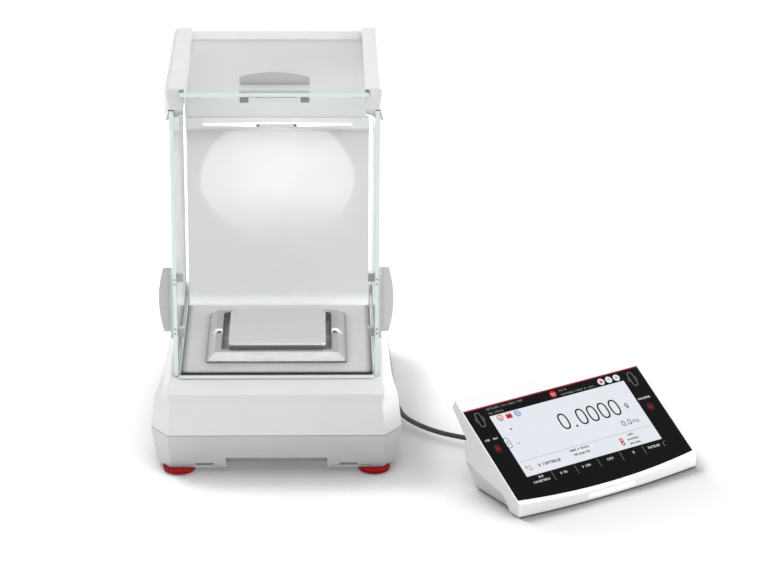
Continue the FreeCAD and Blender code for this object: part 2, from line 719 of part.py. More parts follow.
def terminal_profile():
    """Side outline of the terminal above its seam, (y, z), counter-clockwise seen from the right."""
    return [
        (-14.0, TERMINAL_FLOOR),
        (9.0, TERMINAL_FLOOR),
        SEAM_FRONT,
        SEAM_REAR,
        (82.0, 37.0),
        (77.5, 46.0),
        on_face(FACE_LENGTH, -6.6),
        on_face(FACE_LENGTH, 0.6),
        on_face(-16.0, 0.6),
    ]


def terminal_front_housing():
    """White front housing, open below its seam, with pockets for the glass and the light bar."""
    outer = prism_x(terminal_profile(), -SIDE_MARGIN, SCREEN_WIDTH + SIDE_MARGIN)
    outer = outer.common(front_plan(-SIDE_MARGIN, FRONT_BOW, 140.0))
    hollow = prism_x(inset(terminal_profile(), 2.6), 0.6, SCREEN_WIDTH - 0.6)
    hollow = hollow.common(front_plan(0.6, FRONT_BOW, 140.0))
    below = prism_x([(10.6, 0), (24.0, 17.0), (72.0, 26.0), (72.0, 0)], 0.6, SCREEN_WIDTH - 0.6)
    pocket = screen_outline(0.0, -1.8, 4.0)
    window = slab(6.0, 96.0, 8.0, 192.0, -4.0, 0.0)
    corners = []
    for x0, x1, x2 in ((-SIDE_MARGIN, 5.0, -9.0), (SCREEN_WIDTH + SIDE_MARGIN, 195.0, 209.0)):
        up, low = on_face(FACE_LENGTH + 3.0), on_face(FACE_LENGTH - 3.0)
        cut = [V(x1, *up), V(x2, *up), V(x2, low[0], low[1]), V(x0, low[0], low[1])]
        normal = V(0, *on_face(0, 1.0)) - V(0, *on_face(0, 0))
        wedge = face([p - normal * 20 for p in cut]).extrude(normal * 40)
        corners.append(wedge)
    side_slot = slab(53.5, 68.5, -4.0, 0.2 - SIDE_MARGIN, -11.8, -10.6)
    shell = outer.cut([hollow, below, pocket, window, side_slot] + corners)
    return shell.cut([light_bar(), terminal_plug_space()])


def terminal_lower_housing():
    """Lower housing: a drafted tub that closes the wedge from below and behind."""
    side = [(9.4, TERMINAL_FLOOR), (68.0, TERMINAL_FLOOR), (76.6, 23.9), (20.2, 13.2)]
    outer = prism_x(side, -2.0, SCREEN_WIDTH + 2.0)
    for sign, x in ((-1, 0.0), (1, SCREEN_WIDTH)):
        flank = [(x - sign * 4.5, 0), (x + sign * 2.4, 26), (x + sign * 12, 26), (x + sign * 12, 0)]
        outer = outer.cut(prism_y(flank, -20, 120))
    rear = [(16.0, TERMINAL_FLOOR + 2.4), (65.4, TERMINAL_FLOOR + 2.4), (74.0, 30.0), (21.6, 15.6)]
    hollow = prism_x(rear, 9.0, SCREEN_WIDTH - 9.0)
    return outer.cut([hollow, terminal_plug_space()])


def light_bar():
    """Pill-shaped light bar let into the bowed front, 2 mm deep."""
    centre_x, z, half, radius = 99.0, 5.6, 24.0, 1.9
    y0 = -4.0 - FRONT_BOW - 1.0
    ends = [cylinder(radius, 3.2, centre_x + s * half, y0, z, V(0, 1, 0)) for s in (-1, 1)]
    middle = box(centre_x - half, centre_x + half, y0, y0 + 3.2, z - radius, z + radius)
    return ends[0].fuse([ends[1], middle]).removeSplitter()


def status_light():
    return light_bar().common(front_plan(-SIDE_MARGIN, FRONT_BOW, 140.0))


def touch_glass():
    return screen_outline(0.15, -1.8, 0.0)


def display_module():
    return slab(10.0, 94.0, 18.0, 182.0, -7.0, -1.8)


def terminal_board():
    board = slab(26.0, 72.0, 20.0, 180.0, -10.0, -8.4)
    parts = [slab(40.0, 56.0, x, x + 22.0, -12.0, -10.0) for x in (40.0, 90.0, 136.0)]
    spacers = [slab(a, a + 5.0, x, x + 5.0, -8.4, -7.0) for a in (28.0, 62.0) for x in (24.0, 170.0)]
    return board.fuse(parts + spacers).removeSplitter()


def hand_sensors():
    """Two touchless switches behind the glass's dark side margins."""
    return Part.makeCompound([slab(57.0, 63.0, x - 3.0, x + 3.0, -4.6, -1.8) for x in (11.4, 188.6)])


def terminal_feet():
    places = [(14.0, 16.0), (186.0, 16.0), (18.0, 60.0), (182.0, 60.0)]
    return Part.makeCompound([cylinder(5.5, TERMINAL_FLOOR, x, y, 0) for x, y in places])


def plug_frame():
    """Start of the plug inside the rear wall, and its direction, in the terminal's frame."""
    return V(PLUG_X, 66.0, PLUG_Z), V(0, 1, 0)


def terminal_plug():
    start, along = plug_frame()
    grip = Part.makeCylinder(5.2, 12.0, start, along)
    sleeve = Part.makeCone(4.4, CABLE_DIAMETER / 2 + 0.6, PLUG_LENGTH - 12.0, start + along * 12.0, along)
    return grip.fuse(sleeve).removeSplitter()


def terminal_plug_space():
    start, along = plug_frame()
    return Part.makeCylinder(5.2, 12.0, start, along)


# Cable


def cable():
    """Round tube along straight runs joined by tangent arcs, each as large as its two runs allow."""
    points = [V(*p) for p in CABLE_ROUTE]
    edges, start, radii = [], points[0], []
    for before, corner, after in zip(points, points[1:], points[2:]):
        back, on = before - corner, after - corner
        shorter = min(back.Length, on.Length)
        back.normalize()
        on.normalize()
        half_turn = (math.pi - back.getAngle(on)) / 2
        reach = 0.45 * shorter
        radius = reach / math.tan(half_turn)
        first, last = corner + back * reach, corner + on * reach
        inwards = (back + on).normalize()
        middle = corner + inwards * (radius / math.cos(half_turn) - radius)
        edges.append(Part.makeLine(start, first))
        edges.append(Part.Arc(first, middle, last).toShape())
        start = last
        radii.append(radius)
    edges.append(Part.makeLine(start, points[-1]))
    path = Part.Wire(edges)
    section = Part.Wire(Part.makeCircle(CABLE_DIAMETER / 2, points[0], points[1] - points[0]))
    tube = path.makePipeShell([section], True, False)
    ideal = math.pi * CABLE_DIAMETER**2 / 4 * path.Length
    print("cable length", round(path.Length, 1), "radii", [round(r) for r in radii])
    print("cable volume over section times length", round(tube.Volume / ideal, 4))
    return tube


# All pieces


def balance_pieces():
    handle = door_handle()
    right_handle = on_right_side(handle)
    pieces = {
        "lower_housing": lower_housing(),
        "upper_housing": upper_housing(),
        "chassis": chassis(),
        "load_cell": load_cell(),
        "magnet_system": magnet_system(),
        "calibration_weights": calibration_weights(),
        "calibration_motor": calibration_motor(),
        "main_board": main_board(),
        "rear_panel": rear_panel(),
        "power_jack": power_jack(),
        "serial_port": serial_port(),
        "usb_port": usb_port(),
        "network_port": network_port(),
        "hook_cover": hook_cover(),
        "hook_cover_screw": hook_cover_screw(),
        "foot_bushes": foot_bushes(),
        "rear_feet": rear_feet(),
        "housing_screws": housing_screws(),
        "level_body": level_body(),
        "level_vial": level_vial(),
        "cable_gland": cable_gland(),
        "tower_shell": tower_shell(),
        "tower_rear_cover": tower_rear_cover(),
        "tower_board": tower_board(),
        "chamber_back_wall": chamber_back_wall(),
        "light_hood": light_hood(),
        "light_guide": light_guide().cut(light_module()),
        "light_module": light_module(),
        "light_screws": light_screws(),
        "front_glass": front_glass(),
        "front_glass_strip": front_glass_strip(),
        "top_door_glass": top_door_glass(),
        "top_door_handle": top_door_handle(),
        "floor_plate": floor_plate(),
        "pan_support": pan_support(),
        "weighing_pan": weighing_pan(),
        "draft_ring": draft_ring(),
    }
    pairs = {
        "rail": right_rail(),
        "door_glass": right_door_glass(),
        "door_handle": right_handle,
        "door_track": door_track(),
        "foot_wheel": foot_wheel(),
        "foot_pad": foot_pad(),
    }
    for name, shape in pairs.items():
        pieces["right_" + name] = shape
        pieces["left_" + name] = mirrored(shape)
    return pieces


def terminal_pieces():
    return {
        "terminal_front_housing": terminal_front_housing(),
        "terminal_lower_housing": terminal_lower_housing(),
        "touch_glass": touch_glass(),
        "display_module": display_module(),
        "status_light": status_light(),
        "terminal_board": terminal_board(),
        "hand_sensors": hand_sensors(),
        "terminal_feet": terminal_feet(),
        "terminal_plug": terminal_plug(),
    }


def main():
    os.makedirs("parts", exist_ok=True)
    shapes = {}
    for name, shape in balance_pieces().items():
        shape.translate(BALANCE_AT)
        shapes[name] = shape
    for name, shape in terminal_pieces().items():
        shape.rotate(V(0, 0, 0), V(0, 0, 1), TERMINAL_TURN)
        shape.translate(TERMINAL_AT)
        shapes[name] = shape
    whole = Part.makeCompound(list(shapes.values())).BoundBox
    print("object", whole)
    shapes["terminal_cable"] = cable()
    for name, shape in shapes.items():
        if not shape.isValid() or any(s.Volume <= 0 for s in shape.Solids):
            print("not a valid solid:", name)
        shape.exportStep(f"parts/{name}.step")
    print(len(shapes), "pieces")


main()
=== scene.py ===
"""Looks of the analytical balance and its touch terminal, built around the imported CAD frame. Metres."""

import math
import random

import bmesh
import bpy
from mathutils import Matrix, Vector
from mathutils.geometry import convex_hull_2d
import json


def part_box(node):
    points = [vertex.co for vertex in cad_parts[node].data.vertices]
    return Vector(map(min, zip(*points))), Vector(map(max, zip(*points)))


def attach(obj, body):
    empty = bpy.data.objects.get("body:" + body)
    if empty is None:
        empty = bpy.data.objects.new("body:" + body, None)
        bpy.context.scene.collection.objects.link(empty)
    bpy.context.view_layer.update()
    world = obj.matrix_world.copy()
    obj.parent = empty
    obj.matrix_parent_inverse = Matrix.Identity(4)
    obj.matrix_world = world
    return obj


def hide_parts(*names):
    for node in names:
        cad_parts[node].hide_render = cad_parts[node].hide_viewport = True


MM = 0.001
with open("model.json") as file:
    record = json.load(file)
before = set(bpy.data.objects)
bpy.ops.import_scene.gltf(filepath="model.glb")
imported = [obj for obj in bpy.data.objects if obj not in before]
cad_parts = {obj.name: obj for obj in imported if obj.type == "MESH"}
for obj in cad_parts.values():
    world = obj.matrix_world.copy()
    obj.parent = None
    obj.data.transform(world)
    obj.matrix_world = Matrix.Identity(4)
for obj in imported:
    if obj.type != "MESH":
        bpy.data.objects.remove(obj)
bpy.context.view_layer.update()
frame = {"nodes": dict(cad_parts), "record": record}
NODES = frame["nodes"]
random.seed(7)

# Camera, at the photographed view: place in metres, angles in degrees, lens in millimetres
CAMERA_AT = (-0.0990, -2.4370, 1.0788)
CAMERA_PITCH, CAMERA_YAW, CAMERA_ROLL = 20.98, 1.398, 0.377
CAMERA_LENS, CAMERA_SENSOR = 132.15, 36.0
CAMERA_NEAR, CAMERA_FAR = 0.1, 60.0

# Places that part.py uses too
TERMINAL_AT = Vector((78.84, -201.19, 0)) * MM
TERMINAL_TURN = math.radians(32.4)
SLOPE = math.radians(32.1)
FACE_START_Z = 15.2 * MM
CABLE_DIAMETER = 4.6 * MM
CABLE_ROUTE = (
    (-24.86, 31.21, 12.0),
    (-20.26, 16.21, 11.0),
    (-16.46, 0.21, 9.4),
    (-3.86, -16.29, 8.2),
    (13.14, -32.29, 7.8),
    (32.14, -43.79, 7.8),
    (50.14, -51.99, 8.4),
    (63.64, -64.29, 10.8),
    (73.54, -80.69, 14.0),
    (83.14, -95.89, 14.0),
)


def link(obj):
    bpy.context.scene.collection.objects.link(obj)
    return obj


# Camera


def make_camera():
    pitch, yaw, roll = (math.radians(angle) for angle in (CAMERA_PITCH, CAMERA_YAW, CAMERA_ROLL))
    ahead = Vector((math.sin(yaw) * math.cos(pitch), math.cos(yaw) * math.cos(pitch), -math.sin(pitch)))
    level = Vector((math.cos(yaw), -math.sin(yaw), 0))
    over = level.cross(ahead)
    right = level * math.cos(roll) + over * math.sin(roll)
    up = over * math.cos(roll) - level * math.sin(roll)
    camera = link(bpy.data.objects.new("camera", bpy.data.cameras.new("camera")))
    camera.data.lens = CAMERA_LENS
    camera.data.sensor_width = CAMERA_SENSOR
    camera.data.clip_start = CAMERA_NEAR
    camera.data.clip_end = CAMERA_FAR
    turn = Matrix((right, up, -ahead)).transposed().to_4x4()
    camera.matrix_world = Matrix.Translation(CAMERA_AT) @ turn
    bpy.context.scene.camera = camera


make_camera()


# Materials

# The Mix node's colour sockets
COLOR_A, COLOR_B, COLOR_OUT = 6, 7, 2


class Look:
    """A material's node tree, with short calls for the nodes used here."""

    def __init__(self, name):
        self.mat = bpy.data.materials.new(name)
        self.mat.use_nodes = True
        self.tree = self.mat.node_tree
        self.shader = self.tree.nodes["Principled BSDF"]
        self.output = self.tree.nodes["Material Output"]
        self.place = self.node("ShaderNodeTexCoord").outputs["Object"]

    def node(self, kind, **values):
        made = self.tree.nodes.new(kind)
        for key, value in values.items():
            setattr(made, key, value)
        return made

    def join(self, source, target):
        self.tree.links.new(source, target)

    def drive(self, socket, source):
        self.join(source, self.shader.inputs[socket])

    def set(self, **values):
        for key, value in values.items():
            self.shader.inputs[key.replace("_", " ")].default_value = value

    def stretched(self, scale):
        mapping = self.node("ShaderNodeMapping")
        mapping.inputs["Scale"].default_value = scale
        self.join(self.place, mapping.inputs["Vector"])
        return mapping.outputs["Vector"]

    def noise(self, scale, detail=2.0, where=None):
        noise = self.node("ShaderNodeTexNoise")
        noise.inputs["Scale"].default_value = scale
        noise.inputs["Detail"].default_value = detail
        self.join(where or self.place, noise.inputs["Vector"])
        return noise.outputs["Fac"]

    def span(self, source, low, high, from_low=0.3, from_high=0.7):
        span = self.node("ShaderNodeMapRange")
        span.inputs["From Min"].default_value = from_low
        span.inputs["From Max"].default_value = from_high
        span.inputs["To Min"].default_value = low
        span.inputs["To Max"].default_value = high
        self.join(source, span.inputs["Value"])
        return span.outputs["Result"]

    def sum(self, first, second):
        total = self.node("ShaderNodeMath", operation="ADD")
        self.join(first, total.inputs[0])
        self.join(second, total.inputs[1])
        return total.outputs[0]

    def blend(self, factor, first, second):
        """The first colour where the factor is 0 and the second where it is 1."""
        mix = self.node("ShaderNodeMix", data_type="RGBA")
        self.join(factor, mix.inputs["Factor"])
        mix.inputs[COLOR_A].default_value = (*first, 1.0)
        mix.inputs[COLOR_B].default_value = (*second, 1.0)
        return mix.outputs[COLOR_OUT]

    def clouded(self, noise, first, second):
        """From the first colour to the second as the noise rises."""
        return self.blend(self.span(noise, 0.0, 1.0), first, second)

    def mottled(self, noise, color, share):
        """From the colour to a share of it as the noise rises."""
        return self.clouded(noise, color, tuple(part * share for part in color))

    def painted_shade(self, reach, darkest, low=0.25, high=0.85):
        """Painted shade: from the darkest value in seams and gaps narrower than the reach, to one in the
        open.

        The share of open sky from low to high is spread over that range.
        """
        close = self.node("ShaderNodeAmbientOcclusion", samples=6)
        close.inputs["Distance"].default_value = reach
        return self.span(close.outputs["AO"], darkest, 1.0, low, high)

    def shaded(self, color, painted_shade):
        mix = self.node("ShaderNodeMix", data_type="RGBA", blend_type="MULTIPLY")
        mix.inputs["Factor"].default_value = 1.0
        self.join(color, mix.inputs[COLOR_A])
        self.join(painted_shade, mix.inputs[COLOR_B])
        return mix.outputs[COLOR_OUT]

    def either(self, factor, first, second):
        """The first shader where the factor is 0 and the second where it is 1."""
        mix = self.node("ShaderNodeMixShader")
        self.join(factor, mix.inputs["Fac"])
        self.join(first, mix.inputs[1])
        self.join(second, mix.inputs[2])
        return mix.outputs["Shader"]

    def bump(self, height, distance, strength=1.0):
        bump = self.node("ShaderNodeBump")
        bump.inputs["Strength"].default_value = strength
        bump.inputs["Distance"].default_value = distance
        self.join(height, bump.inputs["Height"])
        self.drive("Normal", bump.outputs["Normal"])


def moulded(name, color, roughness, grain=1400.0, depth=0.012, vary=0.03, coat=0.0, shine=0.5):
    """Moulded plastic or rubber: fine eroded grain, slight flow marks in the colour, uneven gloss, and
    painted shade in seams and narrow gaps.
    """
    look = Look(name)
    flow_marks = look.noise(18.0, 3.0)
    tone = look.mottled(flow_marks, color, 1 - vary)
    # Painted shade: the colour darkens in seams and narrow gaps.
    look.drive("Base Color", look.shaded(tone, look.painted_shade(reach=5 * MM, darkest=0.6)))
    look.drive("Roughness", look.span(look.noise(55.0, 4.0), roughness - 0.04, roughness + 0.05))
    look.bump(look.noise(grain), depth * MM, 0.5)
    look.set(Coat_Weight=coat, Coat_Roughness=0.12, Specular_IOR_Level=shine)
    return look.mat


def brushed(name, color, roughness, along="round", depth=0.006):
    """Metal with brush marks along the x axis, or round for a plain satin. Painted shade darkens its colour
    and its reflections in narrow gaps.
    """
    look = Look(name)
    stretch = {"x": (14.0, 1500.0, 1500.0), "round": (700.0, 700.0, 700.0)}[along]
    lines = look.noise(1.0, 3.0, look.stretched(stretch))
    broad = look.noise(9.0)
    # Painted shade: the colour and the reflections' tint darken in narrow gaps.
    painted_shade = look.painted_shade(reach=9 * MM, darkest=0.02, low=0.58, high=0.95)
    look.drive("Base Color", look.shaded(look.mottled(lines, color, 0.90), painted_shade))
    look.drive("Specular Tint", painted_shade)
    fine_gloss = look.span(lines, roughness - 0.05, roughness + 0.07)
    look.drive("Roughness", look.sum(fine_gloss, look.span(broad, -0.03, 0.03)))
    look.bump(lines, depth * MM, 0.6)
    look.set(Metallic=1.0)
    return look.mat


def glowing(name, color, strength, roughness=0.35):
    """A lit diffuser or panel, a little uneven."""
    look = Look(name)
    uneven = look.noise(260.0)
    tone = look.mottled(uneven, color, 0.96)
    look.drive("Base Color", tone)
    look.drive("Emission Color", tone)
    look.drive("Roughness", look.span(uneven, roughness - 0.03, roughness + 0.03))
    look.set(Emission_Strength=strength)
    return look.mat


def printed(name, color):
    """Print or pixels behind glass: dark of itself, with the colour given off, a little uneven."""
    look = Look(name)
    uneven = look.noise(900.0)
    look.drive("Emission Color", look.mottled(uneven, color, 0.95))
    look.drive("Roughness", look.span(uneven, 0.18, 0.26))
    look.set(Base_Color=(0.004, 0.004, 0.004, 1.0), Emission_Strength=1.0, Specular_IOR_Level=0.1)
    return look.mat


def ground_edges(look, clear, thin):
    """The clear shader on faces square to the thin axis, and a pale green scatter on the edge faces."""
    facing_limit = 0.85
    ground = look.node("ShaderNodeBsdfDiffuse")
    frost = look.noise(900.0, 3.0)
    look.join(look.clouded(frost, (0.80, 0.87, 0.865), (0.74, 0.83, 0.82)), ground.inputs["Color"])
    split = look.node("ShaderNodeSeparateXYZ")
    look.join(look.node("ShaderNodeTexCoord").outputs["Normal"], split.inputs["Vector"])
    facing = look.node("ShaderNodeMath", operation="ABSOLUTE")
    look.join(split.outputs[thin], facing.inputs[0])
    edge = look.node("ShaderNodeMath", operation="LESS_THAN")
    edge.inputs[1].default_value = facing_limit
    look.join(facing.outputs[0], edge.inputs[0])
    return look.either(edge.outputs[0], clear, ground.outputs["BSDF"])


def pane_glass(name, thin=None):
    """Clear float glass: real refraction for sight, a straight way through for lamps, pale in its depth.

    A pane that is thin along an axis has ground edges.
    """
    look = Look(name)
    smear = look.noise(14.0, 4.0)
    look.drive("Base Color", look.clouded(smear, (1.0, 1.0, 1.0), (0.985, 0.988, 0.988)))
    look.drive("Roughness", look.span(smear, 0.0, 0.012))
    look.set(IOR=1.5, Transmission_Weight=1.0)
    straight = look.node("ShaderNodeBsdfTransparent")
    straight.inputs["Color"].default_value = (0.96, 0.97, 0.968, 1.0)
    lamp_ray = look.node("ShaderNodeLightPath").outputs["Is Shadow Ray"]
    surface = look.either(lamp_ray, look.shader.outputs["BSDF"], straight.outputs["BSDF"])
    if thin:
        surface = ground_edges(look, surface, thin)
    look.join(surface, look.output.inputs["Surface"])
    depth = look.node("ShaderNodeVolumeAbsorption")
    depth.inputs["Color"].default_value = (0.80, 0.94, 0.92, 1.0)
    depth.inputs["Density"].default_value = 6.0
    look.join(depth.outputs["Volume"], look.output.inputs["Volume"])
    return look.mat


def circuit(name):
    """Green solder mask with lighter copper lines under it."""
    look = Look(name)
    cells = look.node("ShaderNodeTexVoronoi", feature="DISTANCE_TO_EDGE")
    cells.inputs["Scale"].default_value = 260.0
    look.join(look.place, cells.inputs["Vector"])
    lines = look.span(cells.outputs["Distance"], 1.0, 0.0, 0.03, 0.09)
    look.drive("Base Color", look.blend(lines, (0.012, 0.12, 0.05), (0.03, 0.24, 0.10)))
    look.drive("Roughness", look.span(look.noise(300.0), 0.25, 0.4))
    look.bump(lines, 0.03 * MM)
    return look.mat


MATERIALS = {
    "white_shell": moulded("white_shell", (0.73, 0.73, 0.738), 0.44, shine=0.4),
    # lower_shell is white_shell's plastic made darker: painted shade for the lower housing, whose front faces
    # down, away from the lamps.
    "lower_shell": moulded("lower_shell", (0.60, 0.60, 0.607), 0.46, shine=0.4),
    "handle_grey": moulded("handle_grey", (0.60, 0.61, 0.61), 0.38, vary=0.02, shine=0.4),
    "red_wheel": moulded("red_wheel", (0.34, 0.004, 0.006), 0.42, grain=900.0, vary=0.10, shine=0.12),
    "black_rubber": moulded("black_rubber", (0.028, 0.028, 0.028), 0.72, grain=700.0, depth=0.05, vary=0.2),
    # seam_grey colours the thin strip of painted seam shade between the upper and lower housings.
    "seam_grey": moulded("seam_grey", (0.16, 0.16, 0.16), 0.7, grain=700.0, depth=0.02, vary=0.2),
    "clear_glass": pane_glass("clear_glass"),
    "stainless": brushed("stainless", (0.80, 0.80, 0.805), 0.36, "x"),
    "polished_steel": brushed("polished_steel", (0.55, 0.55, 0.555), 0.20, "x", depth=0.003),
    "cast_aluminium": brushed("cast_aluminium", (0.60, 0.61, 0.62), 0.48, depth=0.03),
    "magnet_steel": brushed("magnet_steel", (0.20, 0.205, 0.215), 0.42, depth=0.01),
    "brass_bush": brushed("brass_bush", (0.72, 0.52, 0.20), 0.26, depth=0.01),
    "circuit_board": circuit("circuit_board"),
    "screw_steel": brushed("screw_steel", (0.42, 0.42, 0.44), 0.30, depth=0.01),
    "dark_plastic": moulded("dark_plastic", (0.035, 0.035, 0.038), 0.45, vary=0.15),
    "port_metal": brushed("port_metal", (0.60, 0.60, 0.62), 0.28, "x"),
    "light_white": glowing("light_white", (0.95, 0.95, 0.95), 0.9),
    "screen_glass": moulded(
        "screen_glass", (0.002, 0.002, 0.0022), 0.10, grain=300.0, depth=0.0005, vary=0.3, shine=0.10
    ),
    "lcd_panel": glowing("lcd_panel", (0.83, 0.86, 0.92), 0.9, 0.2),
    "sensor_red": glowing("sensor_red", (0.35, 0.01, 0.05), 0.3),
    "bubble_green": moulded("bubble_green", (0.45, 0.75, 0.10), 0.1, coat=0.5),
    "screen_white": printed("screen_white", (0.80, 0.83, 0.88)),
    "screen_ink": printed("screen_ink", (0.008, 0.008, 0.009)),
    "screen_pale": printed("screen_pale", (0.62, 0.62, 0.62)),
    "screen_mid": printed("screen_mid", (0.19, 0.19, 0.19)),
    "screen_line": printed("screen_line", (0.42, 0.43, 0.45)),
    "screen_red": printed("screen_red", (0.55, 0.012, 0.02)),
    "screen_blue": printed("screen_blue", (0.05, 0.25, 0.55)),
    "edge_red": printed("edge_red", (0.45, 0.02, 0.03)),
    "glow_faint": printed("glow_faint", (0.030, 0.001, 0.002)),
    "glow_dim": printed("glow_dim", (0.085, 0.002, 0.005)),
    "glow_red": printed("glow_red", (0.22, 0.005, 0.012)),
    "cable_grey": moulded("cable_grey", (0.042, 0.040, 0.044), 0.55, grain=1000.0, depth=0.03, vary=0.12),
}

# Each pane of the draft shield and the axis it is thin along
GLASS_PANES = {
    "left_door_glass": pane_glass("door_glass", "X"),
    "right_door_glass": pane_glass("door_glass", "X"),
    "front_glass": pane_glass("front_glass", "Y"),
    "top_door_glass": pane_glass("top_glass", "Z"),
}


# Cable


def make_cable():
    curve = bpy.data.curves.new("cable", "CURVE")
    curve.dimensions = "3D"
    spline = curve.splines.new("NURBS")
    spline.points.add(len(CABLE_ROUTE) - 1)
    for point, place in zip(spline.points, CABLE_ROUTE):
        point.co = (*(c * MM for c in place), 1.0)
    spline.order_u = 3
    spline.use_endpoint_u = True
    spline.resolution_u = 24
    curve.bevel_depth = CABLE_DIAMETER / 2
    curve.bevel_resolution = 8
    curve.use_fill_caps = True
    cable = link(bpy.data.objects.new("cable", curve))
    cable.data.materials.append(MATERIALS["cable_grey"])
    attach(cable, "root")
    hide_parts("terminal_cable")


make_cable()


# CAD pieces

# Width of the broken edges in millimetres, by material slot
SOFT_EDGES = {
    "white_shell": 0.9,
    "lower_shell": 0.9,
    "handle_grey": 0.5,
    "red_wheel": 0.3,
    "clear_glass": 0.35,
}
HARD_EDGE = 0.2
SAME_POINT = 0.01 * MM
SAME_PLANE = math.radians(0.3)
EDGE_ANGLE = math.radians(28)


def dress(obj, mat):
    if not obj.material_slots:
        obj.data.materials.append(mat)
    for slot in obj.material_slots:
        slot.material = mat


def finish_cad():
    """Gives every CAD node its slot's material and breaks its sharp edges, as moulding or machining does."""
    for part in frame["record"]["subparts"]:
        obj, kind = NODES[part["node"]], part["material_slot"]
        dress(obj, GLASS_PANES.get(part["node"], MATERIALS[kind]))
        weld = obj.modifiers.new("weld", "WELD")
        weld.merge_threshold = SAME_POINT
        flat = obj.modifiers.new("flat", "DECIMATE")
        flat.decimate_type = "DISSOLVE"
        flat.angle_limit = SAME_PLANE
        edge = obj.modifiers.new("edge", "BEVEL")
        edge.width = SOFT_EDGES.get(kind, HARD_EDGE) * MM
        edge.segments = 3 if kind in SOFT_EDGES else 2
        edge.limit_method = "ANGLE"
        edge.angle_limit = EDGE_ANGLE
        edge.use_clamp_overlap = True
        normals = obj.modifiers.new("normals", "WEIGHTED_NORMAL")
        normals.keep_sharp = True


finish_cad()


# Outlines and meshes


def rectangle(x, y, wide, high):
    left, right = x - wide / 2, x + wide / 2
    low, top = y - high / 2, y + high / 2
    return [(left, low), (right, low), (right, top), (left, top)]


def oval(x, y, wide, high, power=2.0, count=48):
    """An ellipse, or with a power above 2 a squarer form of it."""
    points = []
    for k in range(count):
        angle = 2 * math.pi * k / count
        across, up = math.cos(angle), math.sin(angle)
        reach = (abs(across) ** power + abs(up) ** power) ** (-1 / power)
        points.append((x + wide / 2 * across * reach, y + high / 2 * up * reach))
    return points


def pill(x, y, wide, high, count=10):
    """An upright slot with round ends."""
    radius = wide / 2
    points = []
    for middle, start in ((y + high / 2 - radius, 0.0), (y - high / 2 + radius, math.pi)):
        for k in range(count + 1):
            angle = start + math.pi * k / count
            points.append((x + radius * math.cos(angle), middle + radius * math.sin(angle)))
    return points


def arc(x, y, radius, start, end, count=8):
    angles = [math.radians(start + (end - start) * k / count) for k in range(count + 1)]
    return [(x + radius * math.cos(angle), y + radius * math.sin(angle)) for angle in angles]


def stroke(points, width, closed=False):
    """A pen line along the points, as quads."""
    last = len(points) - 1
    sides = []
    for k, (x, y) in enumerate(points):
        before = points[k - 1] if k or closed else points[k]
        after = points[(k + 1) % len(points)] if k < last or closed else points[k]
        dx, dy = after[0] - before[0], after[1] - before[1]
        size = math.hypot(dx, dy) or 1.0
        ox, oy = -dy / size * width / 2, dx / size * width / 2
        sides.append(((x + ox, y + oy), (x - ox, y - oy)))
    quads = []
    for k in range(len(points) if closed else last):
        (left, right), (next_left, next_right) = sides[k], sides[(k + 1) % len(points)]
        quads.append([right, next_right, next_left, left])
    return quads


def bridge(bm, first, second):
    """Quads between two closed rings with the same number of points."""
    for k in range(len(first)):
        bm.faces.new((first[k - 1], first[k], second[k], second[k - 1]))


def closed_tube(bm, rings):
    """A tube through the rings, with a face on each end."""
    for first, second in zip(rings, rings[1:]):
        bridge(bm, first, second)
    bm.faces.new(rings[0])
    bm.faces.new(rings[-1])


def finished(bm, name, kind):
    """Turns the faces outward and makes the mesh an object with its material."""
    bmesh.ops.recalc_face_normals(bm, faces=bm.faces)
    mesh = bpy.data.meshes.new(name)
    bm.to_mesh(mesh)
    bm.free()
    mesh.materials.append(MATERIALS[kind])
    return link(bpy.data.objects.new(name, mesh))


# Small pieces on the balance


def front_seal():
    """The black lip seal between the floor plate and the front glass."""
    low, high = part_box("floor_plate")
    short, back, base = 1.5 * MM, low.y + 1.2 * MM, high.z + 0.02 * MM
    deep, tall = 0.35 * MM, 0.75 * MM
    profile = ((-deep, 0.0), (deep, 0.0), (deep, tall * 0.7), (0.0, tall), (-deep, tall * 0.8))
    bm = bmesh.new()
    ends = []
    for x in (low.x + short, high.x - short):
        ends.append([bm.verts.new((x, back + y, base + z)) for y, z in profile])
    closed_tube(bm, ends)
    seal = finished(bm, "front_lip_seal", "black_rubber")
    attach(seal, "root")


def housing_seam():
    """A thin dark strip just proud of the join: painted shade for the seam where the upper and lower housings
    meet.
    """
    lower = NODES["lower_housing"]
    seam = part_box("lower_housing")[1].z
    half, proud, hidden = 0.22 * MM, 0.06 * MM, -0.6 * MM
    corners = [lower.matrix_world @ vertex.co for vertex in lower.data.vertices]
    rim = [corner.xy for corner in corners if abs(corner.z - seam) < 0.2 * MM]
    outline = [rim[k] for k in convex_hull_2d(rim)]
    middle = sum(outline, Vector((0, 0))) / len(outline)
    bm = bmesh.new()
    rows = []
    for z, out in ((-half, hidden), (-half, proud), (half, proud), (half, hidden)):
        places = [corner + (corner - middle).normalized() * out for corner in outline]
        rows.append([bm.verts.new((place.x, place.y, seam + z)) for place in places])
    for k in range(len(rows)):
        bridge(bm, rows[k - 1], rows[k])
    seam_shade = finished(bm, "housing_seam_shade", "seam_grey")
    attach(seam_shade, "root")


